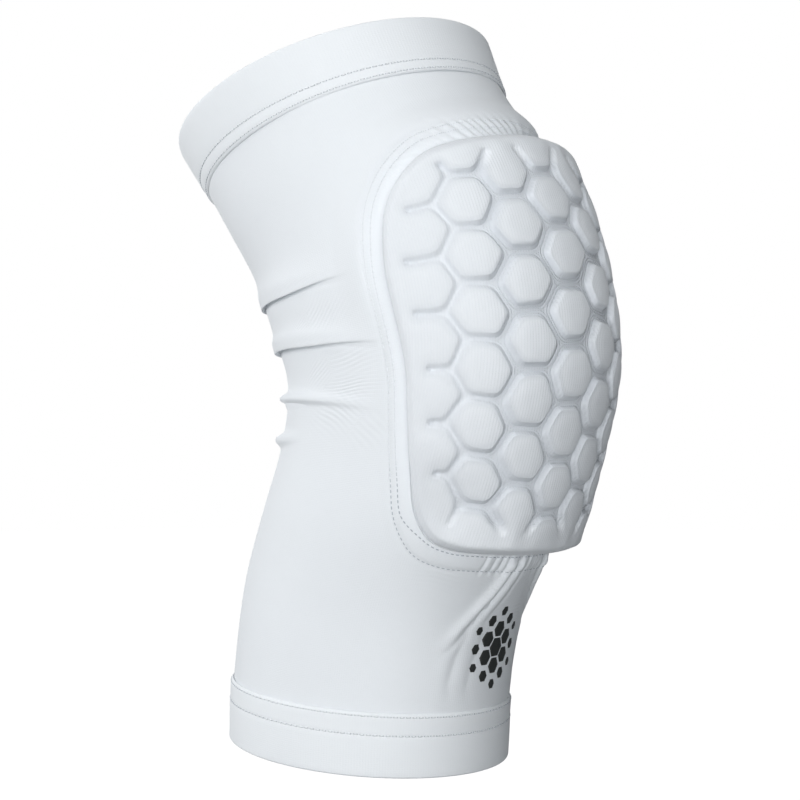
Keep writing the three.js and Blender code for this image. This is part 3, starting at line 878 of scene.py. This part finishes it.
def border_row(outside, beside):
    """A row of stitching round the pad, as its line and the line a millimetre over that."""
    places, heading, _ = pad_outline(1400)
    share = side_share(places[:, 1])
    spot = pushed_in(places, heading, -(outside + (beside - outside) * share)[:, None])
    along = spot[:, 1]
    angle = spot[:, 0] / radius(along)
    relief, _ = cloth_relief(along, angle)
    face = np.array(BORDER_PROFILE[:BORDER_TOP])
    low, high = (np.interp(outside + (beside - outside) * share, face[:, 0], face[:, i]) for i in (1, 2))
    lift = relief + low + (high - low) * share + STITCH_SEAT
    return leg_point(along, angle, lift), leg_point(along, angle, lift + 1)


def cuff_row(hem, toward_knee, from_hem, lift):
    angle = np.linspace(-math.pi, math.pi, 900, endpoint=False)
    along = hem + toward_knee * from_hem + 0 * angle
    up = along + hem_slant(along, angle)
    return leg_point(up, angle, lift), leg_point(up, angle, lift + 1)


def make_print():
    """A field of small six-sided dots on the shin, that shrink away from its middle."""
    points, flat, faces = [], [], []
    rim = 12
    spin = np.arange(rim) / rim * FULL_TURN
    hexagon = np.where(np.arange(rim) % 2 == 0, 1, math.cos(math.pi / 6))
    rings = ((0.35, PRINT_LIFT), (0.7, PRINT_LIFT), (1.0, PRINT_LIFT), (1.0, -0.1), (0.5, -0.1))
    for column in range(-3, 4):
        for row in range(-3, 4):
            across = PRINT_ACROSS + column * PRINT_PITCH * math.sqrt(3) / 2
            along = PRINT_ALONG + (row + column % 2 / 2) * PRINT_PITCH
            aside = (across - PRINT_ACROSS) / PRINT_HALF_WIDTH
            up = (along - PRINT_ALONG) / PRINT_HALF_HEIGHT
            from_middle = math.hypot(aside, up)
            size = 0.53 * PRINT_PITCH * (1.08 - from_middle**1.6)
            if size < 0.12 * PRINT_PITCH:
                continue
            first = len(points)
            for share, lift in rings:
                x = across + size * share * hexagon * np.cos(spin)
                y = along + size * share * hexagon * np.sin(spin)
                angle = x / radius(y)
                relief, _ = cloth_relief(y, angle)
                points += list(leg_point(y, angle, relief + lift))
                flat += list(np.stack([x, y], -1))
            for ring in range(len(rings) - 1):
                for i in range(rim):
                    low, high = first + ring * rim, first + (ring + 1) * rim
                    j = (i + 1) % rim
                    faces.append([high + i, high + j, low + j, low + i])
            faces.append([first + i for i in range(rim)])
            last = first + (len(rings) - 1) * rim
            faces.append([last + i for i in range(rim)][::-1])
    flat = np.array(flat)
    corners = np.concatenate([flat[face] for face in faces])
    return piece_from("shin_print", np.array(points), faces, corners)


class Nodes:
    """A material's nodes."""

    def __init__(self, name):
        self.material = bpy.data.materials.new(name)
        self.material.use_nodes = True
        self.tree = self.material.node_tree
        self.shader = self.tree.nodes["Principled BSDF"]
        self.place = self.add("ShaderNodeTexCoord")

    def add(self, kind, **settings):
        node = self.tree.nodes.new(kind)
        for key, value in settings.items():
            setattr(node, key, value)
        return node

    def put(self, value, socket):
        if isinstance(value, bpy.types.NodeSocket):
            self.tree.links.new(value, socket)
        else:
            socket.default_value = value

    def give(self, name, value):
        self.put(value, self.shader.inputs[name])

    def math(self, operation, first, second=0.0):
        node = self.add("ShaderNodeMath", operation=operation)
        self.put(first, node.inputs[0])
        self.put(second, node.inputs[1])
        return node.outputs[0]

    def noise(self, scale, detail=2.0, roughness=0.5):
        node = self.add("ShaderNodeTexNoise")
        self.put(self.place.outputs["Object"], node.inputs["Vector"])
        self.put(scale, node.inputs["Scale"])
        self.put(detail, node.inputs["Detail"])
        self.put(roughness, node.inputs["Roughness"])
        return node.outputs["Fac"]

    def point_value(self, name):
        return self.add("ShaderNodeAttribute", attribute_name=name).outputs["Fac"]

    def bump(self, height, distance, under=None, strength=1.0):
        node = self.add("ShaderNodeBump")
        self.put(strength, node.inputs["Strength"])
        self.put(distance, node.inputs["Distance"])
        self.put(height, node.inputs["Height"])
        if under is not None:
            self.put(under, node.inputs["Normal"])
        return node.outputs["Normal"]

    def mix(self, share, first, second):
        node = self.add("ShaderNodeMix", data_type="RGBA")
        self.put(share, node.inputs["Factor"])
        self.put(first, node.inputs[6])
        self.put(second, node.inputs[7])
        return node.outputs[2]


def fabric(name, colour, shade, rib_pitch, rib_depth, course_pitch, course_depth, wrinkles=None, painted_shade=None):
    """A knit, with painted shade in its ribs' valleys. Wrinkles gives the height of its fine wrinkles and
    their depth, and the last argument gives where painted shade greys its channels.
    """
    nodes = Nodes(name)
    flat = nodes.add("ShaderNodeUVMap", uv_map="cloth")
    split = nodes.add("ShaderNodeSeparateXYZ")
    nodes.put(flat.outputs["UV"], split.inputs[0])
    across, along = split.outputs[0], split.outputs[1]
    ribs = nodes.math("SINE", nodes.math("MULTIPLY", across, FULL_TURN / rib_pitch))
    courses = nodes.math("SINE", nodes.math("MULTIPLY", along, FULL_TURN / course_pitch))
    fuzz = nodes.noise(1600.0, 3.0, 0.6)
    lumps = nodes.noise(60.0, 3.0, 0.55)
    normal = nodes.bump(lumps, 0.0006, strength=0.25)
    if wrinkles:
        height, depth = wrinkles(nodes)
        normal = nodes.bump(height, depth * METRES, normal)
    normal = nodes.bump(ribs, rib_depth * METRES, normal)
    normal = nodes.bump(courses, course_depth * METRES, normal)
    normal = nodes.bump(fuzz, 0.00012, normal, strength=0.6)
    nodes.give("Normal", normal)
    # Painted shade darkens the ribs' valleys; the lumps add a random tone.
    rib_valley_shade = nodes.math("MULTIPLY", nodes.math("SUBTRACT", 1.0, ribs), 0.12)
    tint = nodes.math("ADD", rib_valley_shade, nodes.math("MULTIPLY", lumps, 0.5))
    face = nodes.mix(tint, (*colour, 1), (*shade, 1))
    # Painted shade greys the channels.
    if painted_shade:
        face = nodes.mix(painted_shade(nodes), face, (*CHANNEL_SHADE_COLOUR, 1))
    nodes.give("Base Color", face)
    nodes.give("Roughness", 0.82)
    nodes.give("Sheen Weight", 0.25)
    nodes.give("Sheen Roughness", 0.45)
    nodes.give("Specular IOR Level", 0.3)
    return nodes.material


def cloth_wrinkles(nodes):
    heights = []
    for i in (0, 1):
        wave = nodes.math("SINE", nodes.math("MULTIPLY", nodes.point_value(f"wrinkle_phase_{i}"), FULL_TURN))
        heights.append(nodes.math("MULTIPLY", wave, nodes.point_value(f"wrinkle_share_{i}")))
    return nodes.math("ADD", *heights), 0.07


def in_channel(nodes, reach, most):
    """How near a point of the pad's face is to the middle of a channel."""
    share = nodes.math("SUBTRACT", 1.0, nodes.math("MULTIPLY", nodes.point_value("channel"), 1 / reach))
    return nodes.math("MINIMUM", nodes.math("MAXIMUM", share, 0.0), most)


def channel_ripples(nodes):
    """Fine ripples that run along the channels between the cells."""
    distance = nodes.point_value("channel")
    wave = nodes.math("SINE", nodes.math("MULTIPLY", distance, FULL_TURN / 1.25))
    share = nodes.math("MULTIPLY", in_channel(nodes, 4.0, 0.5), nodes.point_value("wide_channel"))
    return nodes.math("MULTIPLY", wave, share), 0.34


def painted_channel_shade(nodes):
    """Painted shade that greys the channels, recesses where the knit is drawn tight over the foam."""
    wide = nodes.math("ADD", nodes.math("MULTIPLY", nodes.point_value("wide_channel"), 0.55), 0.2)
    return nodes.math("MULTIPLY", in_channel(nodes, 5.0, 0.6), wide)


def thread(name, colour, shade, low_stitch_shadow_colour):
    """Sewing thread, a little fuzzy, with painted shadow at each stitch's ends, where it dips into the cloth,
    and in the colour of the stitches low on the leg.
    """
    nodes = Nodes(name)
    # Painted shadow at each stitch's ends, where the thread dips into the cloth.
    end = nodes.math("POWER", nodes.point_value("stitch_end"), 3.0)
    fuzz = nodes.noise(2600.0, 2.0, 0.6)
    nodes.give("Normal", nodes.bump(fuzz, 0.00008))
    tint = nodes.math("ADD", end, nodes.math("MULTIPLY", fuzz, 0.2))
    # Painted shadow: the stitches low on the leg take the darker colour.
    face = nodes.mix(nodes.point_value("sunk"), (*colour, 1), (*low_stitch_shadow_colour, 1))
    nodes.give("Base Color", nodes.mix(tint, face, (*shade, 1)))
    nodes.give("Roughness", 0.6)
    return nodes.material


def printed(name, colour, shade):
    """A screen print, a little uneven where it lies over the knit."""
    nodes = Nodes(name)
    grain = nodes.noise(1400.0, 3.0, 0.6)
    wear = nodes.noise(220.0, 4.0, 0.6)
    nodes.give("Normal", nodes.bump(grain, 0.00008, strength=0.7))
    nodes.give("Base Color", nodes.mix(wear, (*colour, 1), (*shade, 1)))
    nodes.give("Roughness", 0.55)
    return nodes.material


WHITE = (0.80, 0.83, 0.86)
BRIGHT = (0.83, 0.86, 0.885)
# The colour of the painted shade in the pad's channels.
CHANNEL_SHADE_COLOUR = (0.40, 0.44, 0.50)
knit_look = fabric("White knit", WHITE, (0.77, 0.80, 0.83), 1.1, 0.012, 0.8, 0.008, cloth_wrinkles)
cuff_look = fabric("White doubled knit", BRIGHT, WHITE, 1.3, 0.008, 0.9, 0.006)
pad_look = fabric(
    "White knit on foam", WHITE, (0.74, 0.77, 0.81), 1.35, 0.03, 0.8, 0.008, channel_ripples, painted_channel_shade
)
# The threads' ends are darkened with painted shadow, and round the pad the stitches low on the leg too.
cuff_thread_look = thread("White thread", BRIGHT, (0.30, 0.33, 0.37), BRIGHT)
pad_thread_look = thread("White thread round the pad", BRIGHT, (0.42, 0.45, 0.49), (0.40, 0.43, 0.48))
print_look = printed("Charcoal print", (0.022, 0.024, 0.023), (0.035, 0.038, 0.036))

sleeve = make_sleeve()
upper_cuff = make_cuff("thigh_cuff", THIGH_LENGTH, -1, UPPER_SECOND_ROW)
lower_cuff = make_cuff("calf_cuff", -SHIN_LENGTH, 1, LOWER_SECOND_ROW)
border = make_border()
pad = make_pad()
pad_thread = make_stitches(
    "pad_stitching",
    [
        (*border_row(1.8, 5.8), *INNER_BORDER_STITCH),
        (*border_row(8.7, 8.7), *OUTER_BORDER_STITCH),
    ],
)
cuff_rows = []
for hem, toward_knee, second_row in (
    (THIGH_LENGTH, -1, UPPER_SECOND_ROW),
    (-SHIN_LENGTH, 1, LOWER_SECOND_ROW),
):
    cuff_rows.append((*cuff_row(hem, toward_knee, FIRST_ROW, CUFF_FACE - 0.26), *CUFF_STITCH))
    cuff_rows.append((*cuff_row(hem, toward_knee, CUFF_HEIGHT - second_row, CUFF_FACE - 0.06), *CUFF_STITCH))
cuff_thread = make_stitches("cuff_stitching", cuff_rows)
shin_print = make_print()

for piece, look, slot, node in (
    (sleeve, knit_look, "knit", "sleeve_tube"),
    (upper_cuff, cuff_look, "cuff_knit", "upper_cuff"),
    (lower_cuff, cuff_look, "cuff_knit", "lower_cuff"),
    (border, knit_look, "knit", "pad_border"),
    (pad, pad_look, "pad_face", "honeycomb_pad"),
):
    piece.data.materials.append(look)
    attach(piece, "root")
    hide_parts(node)

for piece, look, slot in (
    (pad_thread, pad_thread_look, "stitching"),
    (cuff_thread, cuff_thread_look, "stitching"),
    (shin_print, print_look, "print"),
):
    piece.data.materials.append(look)
    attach(piece, "root")

# Camera

CAMERA_TURN = math.radians(-57)
CAMERA_RISE = math.radians(-1.5)
CAMERA_DISTANCE = 0.7
VIEW_WIDTH = 0.38
SENSOR = 36.0
AIM_ASIDE = -0.019
AIM_UP = -0.026125

right = Vector((math.cos(CAMERA_TURN), math.sin(CAMERA_TURN), 0))
back = Vector(
    (
        math.sin(CAMERA_TURN) * math.cos(CAMERA_RISE),
        -math.cos(CAMERA_TURN) * math.cos(CAMERA_RISE),
        math.sin(CAMERA_RISE),
    )
)
up = back.cross(right)
aim = right * AIM_ASIDE + up * AIM_UP
camera_data = bpy.data.cameras.new("Camera")
camera_data.sensor_width = SENSOR
camera_data.lens = SENSOR * CAMERA_DISTANCE / VIEW_WIDTH
camera = bpy.data.objects.new("Camera", camera_data)
facing = Matrix((right, up, back)).transposed().to_4x4()
camera.matrix_world = Matrix.Translation(aim + back * CAMERA_DISTANCE) @ facing
bpy.context.scene.collection.objects.link(camera)
bpy.context.scene.camera = camera

# Floor and light

FLOOR_HEIGHT = -0.45
FLOOR_RADIUS = 6
LIGHT_DISTANCE = 1.6
LIGHT_SIZE = 1.1


def make_floor():
    mesh = bpy.data.meshes.new("Floor")
    count = 96
    turns = [FULL_TURN * i / count for i in range(count)]
    points = [(FLOOR_RADIUS * math.cos(t), FLOOR_RADIUS * math.sin(t), FLOOR_HEIGHT) for t in turns]
    mesh.from_pydata(points, [], [list(range(count))])
    floor = bpy.data.objects.new("Floor", mesh)
    bpy.context.scene.collection.objects.link(floor)
    nodes = Nodes("Pale floor")
    tint = nodes.noise(3.0)
    face = nodes.mix(tint, (0.05, 0.05, 0.052, 1), (0.04, 0.041, 0.043, 1))
    nodes.give("Base Color", face)
    nodes.give("Roughness", 0.9)
    nodes.give("Emission Color", (1, 1, 1, 1))
    nodes.give("Emission Strength", 1.0)
    mesh.materials.append(nodes.material)
    floor.visible_diffuse = False
    floor.visible_glossy = False


make_floor()


def area_light(name, turn, rise, power):
    turn, rise = math.radians(turn), math.radians(rise)
    away = Vector((math.sin(turn) * math.cos(rise), -math.cos(turn) * math.cos(rise), math.sin(rise)))
    data = bpy.data.lights.new(name, "AREA")
    data.shape = "DISK"
    data.size = LIGHT_SIZE
    data.energy = power
    light = bpy.data.objects.new(name, data)
    turned = away.to_track_quat("Z", "Y").to_matrix().to_4x4()
    light.matrix_world = Matrix.Translation(away * LIGHT_DISTANCE) @ turned
    light.visible_camera = False
    bpy.context.scene.collection.objects.link(light)


area_light("Front", -60, -10, 21.5)
area_light("Side", -100, 20, 8.0)
area_light("Back left", -170, 10, 13.0)
area_light("Top", -40, 60, 7.0)
area_light("Back right", 135, 15, 7.0)

world = bpy.data.worlds.new("Studio")
world.use_nodes = True
world_nodes = world.node_tree.nodes
world_links = world.node_tree.links
background = world_nodes["Background"]
background.inputs["Color"].default_value = (0.84, 0.93, 1, 1)
background.inputs["Strength"].default_value = 0.11
seen = world_nodes.new("ShaderNodeBackground")
seen.inputs["Color"].default_value = (1, 1, 1, 1)
seen.inputs["Strength"].default_value = 1.0
path = world_nodes.new("ShaderNodeLightPath")
blend = world_nodes.new("ShaderNodeMixShader")
world_links.new(path.outputs["Is Camera Ray"], blend.inputs[0])
world_links.new(background.outputs[0], blend.inputs[1])
world_links.new(seen.outputs[0], blend.inputs[2])
world_links.new(blend.outputs[0], world_nodes["World Output"].inputs["Surface"])
bpy.context.scene.world = world
bpy.context.scene.view_settings.view_transform = "Standard"
